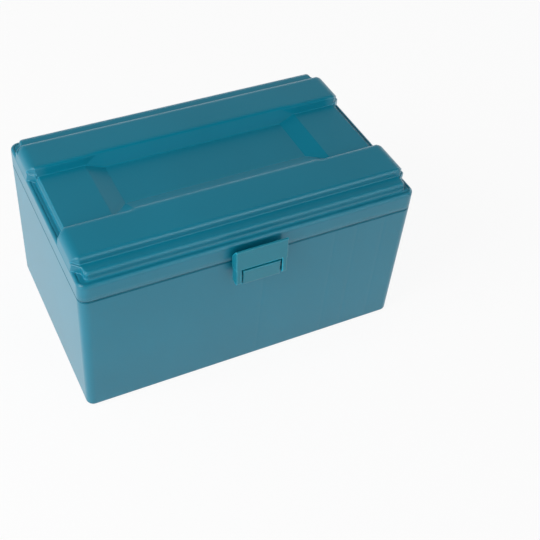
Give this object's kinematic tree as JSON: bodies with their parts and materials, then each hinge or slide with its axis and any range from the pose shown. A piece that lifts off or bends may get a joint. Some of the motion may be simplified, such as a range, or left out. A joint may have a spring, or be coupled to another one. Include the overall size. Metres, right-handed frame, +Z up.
{
  "type": "saw blade storage case",
  "caption": "Moulded plastic storage case with a hinged ridged lid, a front snap latch, upright blade dividers and small compartments for saw blades.",
  "frame": {"origin": "centre of the outline of the flat base, on the base", "axes": "+X along the case's length, to the right when seen from the latch; +Y from the latch to the hinges; +Z up"},
  "size_m": [0.24, 0.1696, 0.1285],
  "materials": {
    "body": "satin moulded",
    "lid": "satin moulded",
    "latch": "satin moulded",
    "pins": "drawn wire"
  },
  "bodies": {
    "case": {"body_shell": "body", "blade_divider_left": "body", "blade_divider_middle": "body", "blade_divider_right": "body", "rear_compartment_side": "body", "rear_compartment_cross_wall": "body", "front_compartment_side": "body", "front_compartment_cross_wall": "body", "latch_bracket": "body", "body_hinge_knuckle_left": "body", "body_hinge_knuckle_right": "body", "hinge_pin_left": "pins", "hinge_pin_right": "pins", "latch_pin": "pins"},
    "lid": {"lid_shell": "lid", "lid_hinge_knuckle_left": "lid", "lid_hinge_knuckle_right": "lid", "lid_front_ribs": "lid", "lid_end_ribs_left": "lid", "lid_end_ribs_right": "lid", "lid_catch_rib": "lid"},
    "latch": {"latch": "latch"}
  },
  "joints": [
    {"name": "lid_hinge", "type": "hinge", "parent": "case", "child": "lid", "pos_m": [0, 0.08, 0.104], "axis": [-1, 0, 0], "range_deg": [0, 212]},
    {"name": "latch_hinge", "type": "hinge", "parent": "case", "child": "latch", "pos_m": [0, -0.0819, 0.0952], "axis": [1, 0, 0], "range_deg": [0, 190]}
  ]
}
